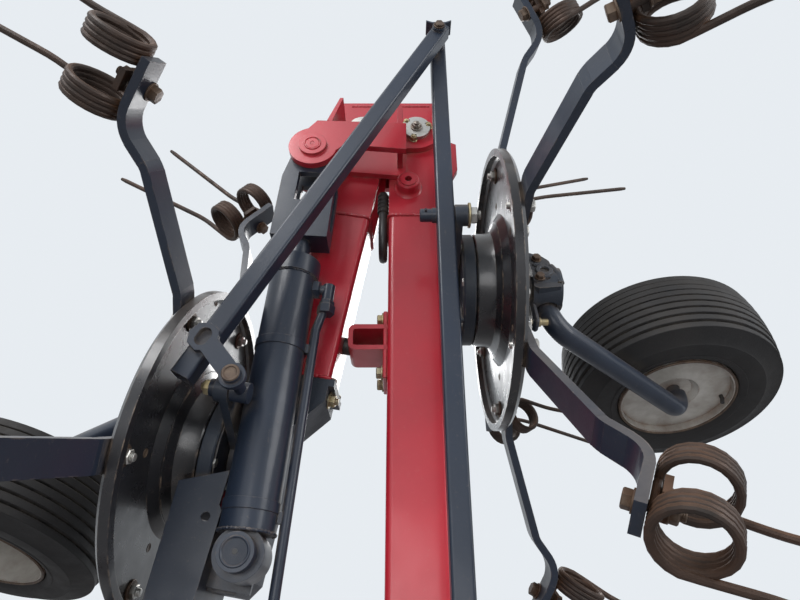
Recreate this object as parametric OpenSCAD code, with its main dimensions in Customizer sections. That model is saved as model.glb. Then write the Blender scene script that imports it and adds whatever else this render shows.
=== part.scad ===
// Folding wing of a hay tedder, folded up for transport.
// The inner boom stands upright along +Z above its base pivot (axis Y, at the origin).
// A two-pin knuckle carries the outer boom, which hangs down beside the inner one.
// Each boom carries a rotor with six tine arms and a swivelling wheel on its rotor column.
// A boom frame has X towards the underside of the rotor, Y across and Z along the boom.

/* [Booms] */
// Width of the box tubes towards the rotor
boom_w = 90; // [80:1:100]
// Depth of the box tubes across the wing
boom_d = 100; // [90:1:110]
// Wall of the box tubes
boom_wall = 6; // [4:0.5:8]
// Corner radius of the box tubes
boom_r = 10; // [8:1:14]
// Height of the inner rotor axis above the base pivot
rotor_z = 700; // [690:1:720]
// Height at which the inner box tube ends in its head
tube_top = 826; // [815:1:835]
// Diameter of the drive stub at the boom's foot
stub_d = 35; // [30:1:38]
// Bore of the base pivot
pivot_d = 36; // [30:1:40]
// Thickness of the lug and head plates
plate_t = 12; // [10:0.5:12.5]

/* [Knuckle] */
// Height of the knuckle pins above the base pivot
pin_z = 1020; // [1010:1:1030]
// Distance of the pins from the boom axis towards the rotor side
pin_x = 6; // [2:1:10]
// Distance between the two knuckle pins
pin_gap = 102; // [100:1:110]
// Diameter of the knuckle pins
pin_d = 40; // [34:1:44]
// Length of the outer boom from its pin to the end of its box tube
outer_end = 505; // [495:1:512]
// Lean of the folded outer boom away from the inner one
fold_lean = 9.7; // [9:0.1:11]
// Place of the cylinder lug pin from the outer pin, sideways
lug_dx = -80; // [-84:1:-76]
// Place of the cylinder lug pin from the outer pin, in height
lug_dz = -106; // [-110:1:-102]

/* [Rotors] */
// Distance of the outer rotor axis from the outer pin
rotor_along = 630; // [620:1:640]
// Distance of the disc plane from the boom axis
disc_n = 148; // [146:1:152]
// Radius of the rotor disc
disc_r = 240; // [230:1:245]
// Thickness of the pressed disc
disc_t = 5; // [4:0.5:6]
// Number of tine arms on a rotor
arm_count = 6; // [6:1:6]
// Width of the flat arms
arm_w = 40; // [34:1:44]
// Thickness of the flat arms
arm_t = 12; // [10:0.5:14]
// Wire diameter of the tines
wire_d = 9.5; // [8:0.5:10]
// Outer diameter of the tine coils
coil_od = 82; // [76:1:86]
// Turns of each tine coil
coil_turns = 4; // [3:1:5]
// Length of the tine legs from the coil axis
leg_len = 330; // [300:1:350]
// First arm of the inner rotor, turned from -Y towards the knuckle
phase_inner = 6.5; // [0:0.5:12]
// First arm of the outer rotor, turned from -Y towards the free end
phase_outer = 19; // [12:0.5:24]

/* [Wheels] */
// Diameter of the swivel column
column_d = 50; // [44:1:54]
// Swivel of the columns in the transport position
swivel = 18; // [14:1:20]
// Length of the swivel lever between column and eye
lever_len = 156; // [150:1:158]
// Distance of the wheel centre from the boom axis
wheel_n = 525; // [515:1:535]
// Trail of the wheel behind the column
wheel_trail = 255; // [245:1:265]
// Offset of the wheel's centre plane from the column
wheel_off = 40; // [30:1:50]
// Diameter of the bent bar that carries the wheel
arm_d = 38; // [34:1:40]
// Bend radius of the wheel's bar
arm_bend = 44; // [40:1:48]
// Gap between the wheel's bar and the side of the tyre
arm_gap = 8; // [6:1:12]
// Diameter of the stub axle
axle_d = 25; // [20:1:28]
// Outer diameter of the tyre
tyre_od = 410; // [390:1:420]
// Width of the tyre
tyre_w = 165; // [150:1:170]
// Diameter of the rim at its flange
rim_d = 224; // [215:1:230]

/* [Links] */
// Width of the square link tubes
link_w = 28; // [24:1:30]
// Height of the upper link joint above the base pivot
joint_z = 1135; // [1125:1:1145]
// Distance of the outer link tube in front of the booms
link_y = 186; // [185:1:190]

/* [Cylinder] */
// Distance of the fold cylinder in front of the boom axis
cyl_y = 95; // [93:1:97]
// Outer diameter of the barrel
barrel_d = 72; // [68:1:74]
// Length of the barrel from its base pin
barrel_len = 434; // [420:1:440]
// Diameter of the rod
rod_d = 36; // [30:1:40]
// Distance of the base pin from the outer knuckle pin along the boom
base_along = 771; // [765:1:780]

/* [Hidden] */
$fn = 48;
eps = 0.01;
foot_z = 72;
stub_z0 = 22;
stub_neck = 2;
stub_len = foot_z - stub_neck - stub_z0;
stop_z = 592;
stop_t = 8;
stop_h = 45;
stop_w = 72;
stop_r = 12;
stop_d = 28;
stop_gap = 5.3;
buffer_z = 1028;
hose_d = 15;
bead_d = hose_d + 6;
loop_r = 30;
loop_low = 800;
loop_high = 890;
run_gap = 1;
pin_fit = 0.5;
seat = 0.3;
red = "crimson";
grey = "#3d4650";
steel = "#8f9499";

// Outer pin and lug pin in the row frame
out_pin_x = pin_x - pin_gap;
lug_x = out_pin_x + lug_dx;
lug_z = pin_z + lug_dz;
fold_turn = 180 - fold_lean;

// Reach of the stop bracket from the inner tube to just short of the folded outer one
stop_face = out_pin_x + (boom_w / 2 + pin_x) / cos(fold_lean)
    - (pin_z - stop_z - stop_h / 2) * tan(fold_lean);
stop_reach = -stop_face - boom_w / 2 - stop_t - stop_gap;

// Planes across the wing
face_y = boom_d / 2;
cheek_in = face_y + run_gap;
cheek_out = cheek_in + plate_t;
fork_half = 24;
top_gap = 66;
lobe_y = cyl_y + fork_half + run_gap;

// Saddle, lever and housing stack under a boom, by distance from the boom axis
lever_n0 = 61;
lever_t = 12;
eye_n1 = lever_n0 + lever_t + 8;
link_z0 = 150;
link_wall = 3;
joint_x = lever_n0 - run_gap - link_w / 2;
housing_n0 = lever_n0 + lever_t + 2;
housing_r = 75;
disc_top = disc_n - disc_t / 2;
disc_low = disc_n + disc_t / 2;
hub_r = 58;
carrier_flange = 12;
carrier_n = -5;
carrier_end = 815;
dish = 10;
column_end = 250;
arm_start = [column_end - 22, 18];
arm_top = -20;

// Centre line of an arm as [radius, drop under the disc]
arm_line = [[95, arm_t / 2], [250, arm_t / 2], [414, 48], [464, 83], [544, 41]];
tip_rise = 27.7;
bolt_s = 50;
bar_bend = 45;
bend_lap = 2;
bend_in = 0.2;
coil_gap = 34;
coil_w = coil_turns * wire_d;
leg_lean = 22;
leg_knee = 80;
knee_turn = 12;

// Places a child in the outer boom's frame
module at_outer_boom() {
    translate([out_pin_x, 0, pin_z])
        rotate([0, -fold_turn, 0])
            translate([-pin_x, 0, 0])
                children();
}

// Places a child in a rotor's frame: name is "inner" or "outer"
module at_rotor(name) {
    if (name == "inner") translate([0, 0, rotor_z]) children();
    if (name == "outer") at_outer_boom() translate([0, 0, rotor_along]) children();
}

// Turn of a column about its rotor axis: the outer one turns the other way in its own frame
function column_turn(name) = name == "inner" ? -swivel : swivel;

// Cylinder along X from n0 to n1
module xcyl(n0, n1, r) {
    translate([n0, 0, 0]) rotate([0, 90, 0]) cylinder(h = n1 - n0, r = r);
}

// Cylinder along Y from y0 to y1
module ycyl(y0, y1, r) {
    translate([0, y0, 0]) rotate([-90, 0, 0]) cylinder(h = y1 - y0, r = r);
}

// Cylinder between two points
module rod(a, b, d) {
    v = b - a;
    translate(a)
        rotate([0, acos(v.z / norm(v)), atan2(v.y, v.x)])
            cylinder(h = norm(v), d = d);
}

// Plate in the XZ plane between two Y values, from an outline of [x, z] points
module xz_plate(y0, y1) {
    translate([0, y1, 0]) rotate([90, 0, 0]) linear_extrude(y1 - y0) children();
}

// Rectangle with round corners, centred
module round_rect(w, d, r) {
    square([w - 2 * r, d], center = true);
    square([w, d - 2 * r], center = true);
    for (sx = [-1, 1], sy = [-1, 1])
        translate([sx * (w / 2 - r), sy * (d / 2 - r)]) circle(r);
}

// Box tube along Z
module box_tube(z0, z1, w, d, wall, r) {
    translate([0, 0, z0])
        linear_extrude(z1 - z0)
            difference() {
                round_rect(w, d, r);
                round_rect(w - 2 * wall, d - 2 * wall, r - wall);
            }
}

// Two flat plates mirrored about the wing's centre plane, with a pin boss between them
module head_plates(z0, side) {
    difference() {
        union() {
            for (s = [-1, 1])
                xz_plate(s > 0 ? face_y - plate_t : -face_y, s > 0 ? face_y : plate_t - face_y)
                    union() {
                        polygon([[-boom_w / 2, z0], [boom_w / 2, z0],
                            [boom_w / 2, side - 60], [pin_x + 46, side], [pin_x - 46, side],
                            [-boom_w / 2, side - 60]]);
                        translate([pin_x, side]) circle(46);
                    }
            translate([pin_x, 0, side]) ycyl(-face_y, face_y, 34);
        }
        translate([pin_x, 0, side]) ycyl(-face_y - 1, face_y + 1, pin_d / 2 + pin_fit);
    }
}

module inner_boom_tube() color(red) {
    box_tube(foot_z + plate_t, tube_top, boom_w, boom_d, boom_wall, boom_r);
}

module inner_boom_head() color(red) {
    head_plates(tube_top, pin_z);
    for (sx = [-1, 1])
        translate([sx > 0 ? boom_w / 2 - 8 : -boom_w / 2, plate_t - face_y, tube_top])
            cube([8, boom_d - 2 * plate_t, 110]);
    for (s = [-1, 1])
        xz_plate(s > 0 ? face_y - plate_t : -face_y, s > 0 ? face_y : plate_t - face_y)
            polygon([[boom_w / 2 - 8, tube_top + 60], [boom_w / 2 + 14, tube_top + 60],
                [boom_w / 2 + 37, pin_z - 88], [boom_w / 2 + 37, pin_z - 24],
                [boom_w / 2 + 8, pin_z - 10], [boom_w / 2 - 8, pin_z - 10]]);
    translate([pin_x + 30, plate_t - face_y - 1, buffer_z - 16])
        cube([18, boom_d - 2 * plate_t + 2, 32]);
    translate([-10, 0, tube_top + 62]) difference() {
        ycyl(-face_y - 26, -face_y, 15);
        ycyl(-face_y - 27, -face_y, 6);
    }
}

module head_buffer() color("black") {
    translate([0, 0, buffer_z]) xcyl(pin_x + 48, pin_x + top_gap - 5, 11);
}

// Hydraulic hose that hangs in a loop between the two booms, in its two clips
module hose_loop() color("black") translate([-boom_w / 2 - seat - bead_d / 2, 0, 0]) {
    for (y = [-loop_r, loop_r]) {
        translate([0, y, loop_low]) cylinder(h = loop_high - loop_low, d = hose_d);
        for (z = [loop_high - 46 : 9 : loop_high - 9])
            translate([0, y, z]) cylinder(h = 5, d = bead_d);
    }
    translate([0, 0, loop_low]) rotate([0, 90, 0]) rotate([0, 0, -90])
        rotate_extrude(angle = 180) translate([loop_r, 0]) circle(d = hose_d);
}

module base_lugs() color(red) {
    difference() {
        union() {
            for (s = [-1, 1])
                xz_plate(s > 0 ? face_y : -face_y - plate_t, s > 0 ? face_y + plate_t : -face_y)
                    union() {
                        circle(42);
                        polygon([[-42, 0], [42, 0], [36, 170], [-36, 170]]);
                    }
            translate([-42, -face_y, foot_z]) cube([84, boom_d, plate_t]);
        }
        ycyl(-face_y - 20, face_y + 20, pivot_d / 2);
        translate([0, 0, foot_z - 1]) cylinder(h = plate_t + 2, d = stub_d + 2 * pin_fit);
    }
}

module drive_stub() color(steel) {
    translate([0, 0, stub_z0]) cylinder(h = stub_len, d = stub_d);
    translate([0, 0, stub_z0 + stub_len - 1])
        cylinder(h = stub_neck + plate_t + 2, d = stub_d - 2);
    translate([0, 0, foot_z + plate_t]) cylinder(h = 14, d = 60);
}

// Outline of the stop bracket in the XZ plane, round at its free end, with an inset
module stop_outline(inset) {
    r = stop_r - inset;
    x0 = -stop_reach - stop_t + inset;
    translate([x0 + r, inset]) square([sign(inset) - x0 - r, stop_h - 2 * inset]);
    translate([x0, inset + r]) square([2 * r, stop_h - 2 * inset - 2 * r]);
    for (z = [inset + r, stop_h - inset - r]) translate([x0 + r, z]) circle(r);
}

module stop_bracket() color(red) translate([-boom_w / 2, 0, stop_z - stop_h / 2]) {
    xz_plate(-stop_w / 2, stop_w / 2) difference() {
        stop_outline(0);
        stop_outline(stop_t);
    }
    xz_plate(stop_w / 2 - stop_t, stop_w / 2) stop_outline(0);
}

module stop_buffer() color("black") {
    difference() {
        at_outer_boom() translate([-boom_w / 2 - seat, 0, (pin_z - stop_z) / cos(fold_lean) - 9])
            rotate([0, -90, 0]) cylinder(h = stop_reach, d = stop_d);
        translate([-boom_w / 2 - stop_reach - stop_t, -stop_w, stop_z - stop_h])
            cube([2 * stop_reach, 2 * stop_w, 2 * stop_h]);
    }
}

module gearbox() {
    difference() {
        union() {
            xcyl(housing_n0, disc_top - dish - seat, housing_r);
            xcyl(housing_n0, housing_n0 + 10, housing_r + 15);
            for (s = [-1, 1])
                translate([boom_w / 2, -face_y + 4, s > 0 ? 60 : -84])
                    cube([housing_n0 - boom_w / 2 + 5, boom_d - 8, 24]);
        }
        xcyl(boom_w / 2 - 1, disc_n, column_d / 2 + pin_fit);
    }
}

module inner_gearbox() color(grey) at_rotor("inner") gearbox();

module outer_gearbox() color(grey) at_rotor("outer") gearbox();

module knuckle_cheeks() color(red) {
    difference() {
        union() {
            for (s = [-1, 1])
                xz_plate(s > 0 ? cheek_in : -cheek_out, s > 0 ? cheek_out : -cheek_in)
                    union() {
                        translate([pin_x, pin_z]) circle(46);
                        translate([out_pin_x, pin_z]) circle(46);
                        polygon([[out_pin_x, pin_z - 46], [pin_x, pin_z - 46],
                            [pin_x + 46, pin_z], [pin_x + 40, pin_z + 74],
                            [out_pin_x - 40, pin_z + 74], [out_pin_x - 46, pin_z]]);
                    }
            translate([out_pin_x - 30, -cheek_out, pin_z + top_gap])
                cube([pin_gap + 42, 2 * cheek_out, 8]);
            xz_plate(-cheek_out, -cheek_in) lobe();
            xz_plate(-lobe_y - plate_t, -lobe_y) lobe();
            xz_plate(-lobe_y - 1, -cheek_out + 1)
                polygon([[lug_x + 19, lug_z + 72], [lug_x + 28, lug_z + 70],
                    [lug_x + 46, lug_z + 130], [lug_x + 40, lug_z + 130]]);
            translate([-30, -lobe_y - 1, lug_z + 10]) cube([10, lobe_y - cheek_out + 2, 100]);
            translate([lug_x, 0, lug_z]) ycyl(-lobe_y - plate_t - 5, -lobe_y - plate_t, 24);
        }
        for (x = [pin_x, out_pin_x])
            translate([x, 0, pin_z]) ycyl(-cheek_out - 1, cheek_out + 1, pin_d / 2 + eps);
    }
}

// Outline of the plates that hold the cylinder's lug pin
module lobe() {
    translate([lug_x, lug_z]) circle(42);
    polygon([[lug_x - 42, lug_z], [lug_x + 4, lug_z + 60], [lug_x + 162, lug_z + 53],
        [lug_x + 162, lug_z - 9], [lug_x + 55, lug_z + 2], [lug_x + 40, lug_z - 12]]);
}

module knuckle_pins() color(steel) {
    for (x = [pin_x, out_pin_x]) translate([x, 0, pin_z]) {
        ycyl(-cheek_out - 1, cheek_out + 1, pin_d / 2 - eps);
        for (s = [-1, 1]) ycyl(s > 0 ? cheek_out : -cheek_out - 6, s > 0 ? cheek_out + 6 : -cheek_out, 24);
    }
}

module outer_boom_tube() color(red) at_outer_boom() {
    box_tube(pin_z - tube_top, outer_end, boom_w, boom_d, boom_wall, boom_r);
}

// Casting that ends the outer boom, carries its rotor and holds the foot of the cylinder
module outer_carrier() color(grey) at_outer_boom() {
    translate([-boom_w / 2 - 8, -face_y, outer_end])
        cube([boom_w + 16, boom_d + 4, carrier_flange]);
    xz_plate(-face_y, face_y - 12)
        polygon([[-boom_w / 2, outer_end + 1], [-boom_w / 2, outer_end + 35],
            [carrier_n, outer_end + 85], [carrier_n, carrier_end - 20],
            [carrier_n + 14, carrier_end], [boom_w / 2, carrier_end], [boom_w / 2, outer_end + 1]]);
}

module outer_boom_head() color(red) at_outer_boom() {
    mirror([0, 0, 1]) translate([0, 0, -pin_z]) head_plates(tube_top, pin_z);
}

module guard_plate() color(grey) at_outer_boom() {
    n0 = boom_w / 2;
    xz_plate(-89, -86) difference() {
        polygon([[n0 + 5, 671], [113, 695], [106, 850], [n0, 850], [n0, 722], [n0 + 5, 716]]);
        translate([n0 + 18, 733]) circle(6);
    }
    translate([n0, -89, 722]) cube([4, 128, 128]);
}

module cylinder_bracket() color(grey) at_outer_boom() translate([0, 0, base_along]) {
    translate([carrier_n - 7, -face_y - 8, -40]) cube([boom_w / 2 - carrier_n + 7, 8, 80]);
    ycyl(-cyl_y - 40, -face_y - 7, 15);
    ycyl(-cyl_y - 42, -cyl_y - 28, 23);
}

// Angle and length of the cylinder between its base pin and the lug pin, in the boom's frame
lug_dist = norm([lug_dx, lug_dz]);
lug_ang = atan2(-lug_dx, -lug_dz) - fold_lean;
lug_along = lug_dist * cos(lug_ang);
lug_n = pin_x + lug_dist * sin(lug_ang);
cyl_ang = atan2(lug_n, lug_along - base_along);
cyl_len = norm([lug_n, lug_along - base_along]);
rod_shown = 40;
pipe_d = 14;
fork_start = barrel_len + rod_shown;

// Places a child on the cylinder's axis: Z runs from the base pin to the lug pin
module at_cylinder() {
    at_outer_boom() translate([0, -cyl_y, base_along]) rotate([0, cyl_ang, 0]) children();
}

module cylinder_barrel() color(grey) at_cylinder() {
    difference() {
        union() {
            ycyl(-25, 25, 32);
            translate([0, 0, 26]) cylinder(h = barrel_len - 26, d = barrel_d);
            translate([0, 0, barrel_len - 30]) cylinder(h = 30, d = barrel_d + 6);
        }
        ycyl(-26, 26, 15 + pin_fit);
        translate([0, 0, 150]) cylinder(h = barrel_len, d = rod_d + 1);
    }
}

module cylinder_pipe() color(grey) at_cylinder() {
    near = barrel_d / 2 + pipe_d / 2 + 4;
    far = near + 11;
    top = barrel_len - 46;
    rod([near, 0, -50], [near, 0, top - 70], pipe_d);
    rod([near, 0, top - 71], [far, 0, top - 20], pipe_d - 0.4);
    translate([far, 0, top - 26]) cylinder(h = 34, d = pipe_d + 5);
    translate([0, 0, top]) xcyl(barrel_d / 2 + seat, far, pipe_d / 2 + 1);
    for (z = [40, top - 110])
        translate([barrel_d / 2 + seat, -5, z]) cube([near - barrel_d / 2, 10, 14]);
}

module cylinder_rod() color(grey) at_cylinder() {
    translate([0, 0, 170]) cylinder(h = fork_start + 20 - 170, d = rod_d);
    translate([0, 0, cyl_len]) ycyl(-fork_half, fork_half, 15);
    for (y = [-fork_half, fork_half - 12])
        xz_plate(y, y + 12) difference() {
            union() {
                translate([0, cyl_len]) circle(34);
                polygon([[-46, fork_start], [46, fork_start], [46, cyl_len - 60],
                    [34, cyl_len], [-34, cyl_len], [-46, cyl_len - 60]]);
            }
            translate([-18, cyl_len - 110]) square([36, 60]);
        }
    translate([-46, -fork_half, fork_start]) cube([92, 2 * fork_half, 30]);
}

module disc() {
    rotate([0, 90, 0]) rotate_extrude() difference() {
        union() {
            polygon([[hub_r - 26, disc_top - dish], [118, disc_top - dish], [132, disc_top],
                [disc_r - 16, disc_top], [disc_r - 12, disc_top - 4], [disc_r - 12, disc_top - 14],
                [disc_r, disc_top - 14], [disc_r, disc_low - 6], [disc_r - 6, disc_low],
                [132, disc_low], [116, disc_low - dish], [hub_r, disc_low - dish],
                [hub_r, disc_low + 30], [hub_r - 26, disc_low + 30]]);
        }
        translate([0, 0]) square([column_d / 2 + 2, 400]);
    }
}

module inner_disc() color(grey) at_rotor("inner") disc();

module outer_disc() color(grey) at_rotor("outer") disc();

// Places a child at each arm of a rotor: X runs outwards and Z runs down under the disc
module at_arms(name) {
    phase = name == "inner" ? phase_inner : phase_outer;
    at_rotor(name) for (k = [0 : arm_count - 1])
        rotate([-(phase + k * 360 / arm_count), 0, 0])
            translate([disc_low, 0, 0])
                rotate([0, 0, -90]) rotate([-90, 0, 0])
                    children();
}

// Direction, turn and length lost at the points of a bent line
function way(line, i) = (line[i + 1] - line[i]) / norm(line[i + 1] - line[i]);
function turn_at(line, i) = let (a = way(line, i - 1), b = way(line, i))
    atan2(a.x * b.y - a.y * b.x, a.x * b.x + a.y * b.y);
function cut_at(line, i, r) = i == 0 || i == len(line) - 1 ? 0 : r * tan(abs(turn_at(line, i)) / 2);

// Flat bar of thickness t and width w that follows a line with round bends
module bent_bar(line, t, w, r) {
    for (i = [0 : len(line) - 2]) {
        v = line[i + 1] - line[i];
        a = max(0, cut_at(line, i, r) - bend_lap);
        b = max(0, cut_at(line, i + 1, r) - bend_lap);
        translate(line[i]) rotate([0, 0, atan2(v.y, v.x)]) translate([a, -t / 2, 0])
            cube([norm(v) - a - b, t, w]);
    }
    for (i = [1 : len(line) - 2]) {
        u = way(line, i - 1);
        turn = turn_at(line, i);
        s = sign(turn);
        mid = line[i] - cut_at(line, i, r) * u + s * r * [-u.y, u.x];
        translate(mid) rotate([0, 0, atan2(u.y, u.x) - s * 90 + min(turn, 0)])
            rotate_extrude(angle = abs(turn))
                translate([r - t / 2 + bend_in, bend_in]) square([t - 2 * bend_in, w - 2 * bend_in]);
    }
}

module arms(name) {
    at_arms(name) translate([0, arm_w / 2, 0]) rotate([90, 0, 0])
        bent_bar(arm_line, arm_t, arm_w, bar_bend);
}

module inner_arms() color(grey) arms("inner");

module outer_arms() color(grey) arms("outer");

// Place of the clamp bolt on the arm's tip, on the lower face of the bar
tip_dir = [cos(tip_rise), 0, -sin(tip_rise)];
tip_down = [sin(tip_rise), 0, cos(tip_rise)];
bend = [arm_line[3].x, 0, arm_line[3].y];
bolt_at = bend + bolt_s * tip_dir + arm_t / 2 * tip_down;

// Places a child at the clamp bolt: X along the tip, Z away from the arm
module at_tips(name) {
    at_arms(name) translate(bolt_at) rotate([0, tip_rise, 0]) children();
}

// Wound part of a tine: a sleeve with one raised bead to each turn
module coil() {
    edge = coil_od / 2;
    rotate([0, 90, 0]) rotate_extrude()
        polygon(concat([[edge - wire_d, coil_w], [edge - wire_d, 0]],
            [for (i = [0 : coil_turns - 1], p = [[-1.8, 0.02], [0, 0.3], [0, 0.7], [-1.8, 0.98]])
                [edge + p[0], (i + p[1]) * wire_d]]));
}

module tines(name) {
    r = (coil_od - wire_d) / 2;
    turn = leg_lean - tip_rise;
    at_tips(name) translate([0, 0, coil_od / 2 + seat]) {
        for (s = [-1, 1]) {
            x0 = s > 0 ? coil_gap / 2 : -coil_gap / 2 - coil_w;
            translate([x0, 0, 0]) coil();
            start = [s * (coil_gap / 2 + coil_w - wire_d / 2), r, 0];
            knee = start + leg_knee * [sin(turn), 0, cos(turn)];
            out = [sin(turn + knee_turn), 0, cos(turn + knee_turn)];
            rod(start, knee, wire_d - 0.6);
            translate(knee) sphere(d = wire_d);
            rod(knee, knee + (leg_len - leg_knee) * out, wire_d - 0.6);
        }
        rod([-coil_gap / 2 - 4, 0, -r], [coil_gap / 2 + 4, 0, -r], wire_d - 0.6);
    }
}

module inner_tines() color("#3a2a22") tines("inner");

module outer_tines() color("#3a2a22") tines("outer");

module clamps(name) {
    at_tips(name) {
        translate([0, 0, wire_d + 2 * seat]) translate([-14, -18, 0]) cube([28, 36, 8]);
        translate([0, 14, 0]) cylinder(h = wire_d + 2 * seat + 18, d = 12);
    }
}

module inner_clamps() color(steel) clamps("inner");

module outer_clamps() color(steel) clamps("outer");

// Turns a child with a swivel column, whose lever points to -Y when the swivel is 0
module at_column(name) {
    at_rotor(name) rotate([column_turn(name), 0, 0]) children();
}

module column(name) {
    at_column(name) difference() {
        union() {
            xcyl(boom_w / 2 + 2, column_end, column_d / 2);
            xcyl(column_end - 50, column_end, 39);
            translate([arm_start.x, arm_start.y, -22]) cylinder(h = 50, r = arm_d / 2 + 10);
            difference() {
                union() {
                    xcyl(lever_n0, lever_n0 + lever_t, 46);
                    translate([lever_n0, -lever_len, -17]) cube([lever_t, lever_len, 34]);
                    translate([0, -lever_len, 0]) xcyl(lever_n0, eye_n1, 17);
                }
                translate([0, -lever_len, 0])
                    xcyl(lever_n0 - 1, eye_n1 + 1, 8 + pin_fit);
            }
        }
        translate([arm_start.x, arm_start.y, -60]) {
            cylinder(h = 60 - arm_top, d = arm_d + 0.4);
            cylinder(h = 38, d = arm_d + 10);
        }
    }
}

module inner_column() color(grey) column("inner");

module outer_column() color(grey) column("outer");

// Quarter bend of a round bar, from +Z at the origin towards +X
module quarter_bend(r, d) {
    translate([r, 0, 0]) rotate([90, 0, 0]) rotate([0, 0, 90])
        rotate_extrude(angle = 90) translate([r, 0]) circle(d = d);
}

// The bent bar from the column's casting to the wheel hub, whose end is the stub axle
module wheel_arm(name) {
    reach = norm([wheel_n, wheel_trail] - arm_start);
    turn = atan2(wheel_trail - arm_start.y, wheel_n - arm_start.x);
    side = tyre_w / 2 + arm_gap + arm_d / 2 - wheel_off;
    stub_end = wheel_off + 45;
    at_column(name) translate([arm_start.x, arm_start.y, 0]) rotate([0, 0, turn]) {
        translate([0, 0, arm_bend - side]) cylinder(h = side - arm_bend - arm_top, d = arm_d);
        translate([0, 0, arm_bend - side]) rotate([180, 0, 0]) quarter_bend(arm_bend, arm_d);
        translate([arm_bend, 0, -side]) rotate([0, 90, 0])
            cylinder(h = reach - 2 * arm_bend, d = arm_d);
        translate([reach, 0, arm_bend - side]) rotate([180, 0, 180]) quarter_bend(arm_bend, arm_d);
        translate([reach, 0, arm_bend - side])
            cylinder(h = side - arm_bend + stub_end, d = axle_d);
    }
}

module inner_wheel_arm() color(grey) wheel_arm("inner");

module outer_wheel_arm() color(grey) wheel_arm("outer");

// Places a child at a wheel's centre with its axle along Z
module at_wheel(name) {
    at_column(name) translate([wheel_n, wheel_trail, wheel_off]) children();
}

module tyre() {
    r = tyre_od / 2;
    w = tyre_w / 2;
    side = [[rim_d / 2 + eps, w - 14], [rim_d / 2 + 9, w - 5], [r - 52, w], [r - 22, w - 5],
        [r - 7, w - 20], [r - 2, w - 45], [r, 12]];
    rotate_extrude() polygon(concat(side, [for (i = [len(side) - 1 : -1 : 0]) [side[i].x, -side[i].y]]));
}

module rim() {
    edge = rim_d / 2;
    w = tyre_w / 2 - 6;
    rotate_extrude() {
        translate([edge - 6, -w]) square([6, 2 * w]);
        polygon([[axle_d / 2 + pin_fit, -50], [36, -50], [46, -62], [edge - 5, -62],
            [edge - 5, -56], [49, -56], [38, -42], [30, -42], [30, 40], [axle_d / 2 + pin_fit, 40]]);
    }
}

module inner_tyre() color("black") at_wheel("inner") tyre();

module inner_rim() color("lightgrey") at_wheel("inner") rim();

module outer_tyre() color("black") at_wheel("outer") tyre();

module outer_rim() color("lightgrey") at_wheel("outer") rim();

// Lever eye of a column in its rotor's frame
eye_y = -lever_len * cos(swivel);
eye_up = lever_len * sin(swivel);

// Square tube along Z from z0 to z1
module link_tube(z0, z1) {
    box_tube(z0, z1, link_w, link_w, link_wall, link_wall + 1);
}

module inner_link() color(grey) {
    difference() {
        union() {
            translate([joint_x, eye_y, 0]) link_tube(link_z0, joint_z + 14);
            translate([joint_x, 0, link_z0 + 22]) ycyl(eye_y - link_w / 2, eye_y + link_w / 2, 12);
            translate([joint_x, 0, joint_z]) ycyl(eye_y - link_w / 2 - 4, eye_y + link_w / 2 + 6, 12);
            translate([0, eye_y, rotor_z + eye_up])
                xcyl(joint_x - link_w / 2, joint_x + link_w / 2, 12);
        }
        translate([joint_x, 0, link_z0 + 22]) ycyl(eye_y - 40, eye_y + 40, 8);
        translate([0, eye_y, rotor_z + eye_up])
            xcyl(joint_x - link_w, joint_x + link_w, 8);
    }
    translate([0, eye_y, rotor_z + eye_up]) {
        xcyl(joint_x - link_w / 2 - 7, eye_n1 + 8, 8 - eps);
        xcyl(joint_x - link_w / 2 - 7, joint_x - link_w / 2, 12);
    }
}

// Lever eye of the outer column and end of the outer link tube in the row frame
eye_n = joint_x - pin_x;
eye_along = rotor_along - eye_up;
eye_row = [out_pin_x + eye_n * cos(fold_turn) - eye_along * sin(fold_turn),
    pin_z + eye_n * sin(fold_turn) + eye_along * cos(fold_turn)];
link_end = [-303, 458];
lug_up = 55;
lug_r = 21;
link_lean = atan2(joint_x - link_end.x, joint_z - link_end.y);
link_len = norm([joint_x, joint_z] - link_end);
lug_at = link_end + lug_up * [sin(link_lean), cos(link_lean)];
link_front = -link_y - link_w / 2;

module outer_link() color(grey) {
    translate([joint_x, 0, joint_z]) {
        rotate([0, link_lean, 0]) {
            translate([0, -link_y, 0]) link_tube(-link_len, 14);
            ycyl(link_front - 6, link_front + link_w + 4, 12);
        }
        xz_plate(link_front, link_front + link_w)
            polygon([[-23, 24], [-12, 19], [12, 19], [23, 24], [23, 20], [12, 15], [-12, 15], [-23, 20]]);
    }
    xz_plate(link_front - 8, link_front) difference() {
        union() {
            translate(lug_at) polygon([for (a = [22.5 : 45 : 337.5]) lug_r * [cos(a), sin(a)]]);
            translate(eye_row) circle(17);
            translate(lug_at) rotate(atan2(eye_row.y - lug_at.y, eye_row.x - lug_at.x))
                translate([0, -13]) square([norm(eye_row - lug_at), 26]);
        }
        translate(eye_row) circle(8 + pin_fit);
        translate(lug_at) rotate(-link_lean) {
            translate([0, -4]) circle(9);
            translate([0, 4]) circle(9);
            square([18, 8], center = true);
        }
    }
}

// Cross-pin block that joins the outer link to the lever of the outer column
module outer_link_joint() color(steel)
    at_rotor("outer") translate([0, eye_y, -eye_up]) {
        xcyl(joint_x - 10, joint_x + link_w / 2, 14);
        xcyl(joint_x, eye_n1, 8 - eps);
        xcyl(eye_n1 + run_gap, eye_n1 + 8, 12);
        xcyl(eye_n1 - 1, eye_n1 + 2, 8 - eps);
        translate([joint_x, 0, 0]) {
            ycyl(link_front - 8 - eye_y, 0, 8);
            ycyl(link_front - 15 - eye_y, link_front - 8 - run_gap - eye_y, 12);
            ycyl(link_front - 10 - eye_y, link_front - 7 - eye_y, 8);
        }
    }

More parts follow.
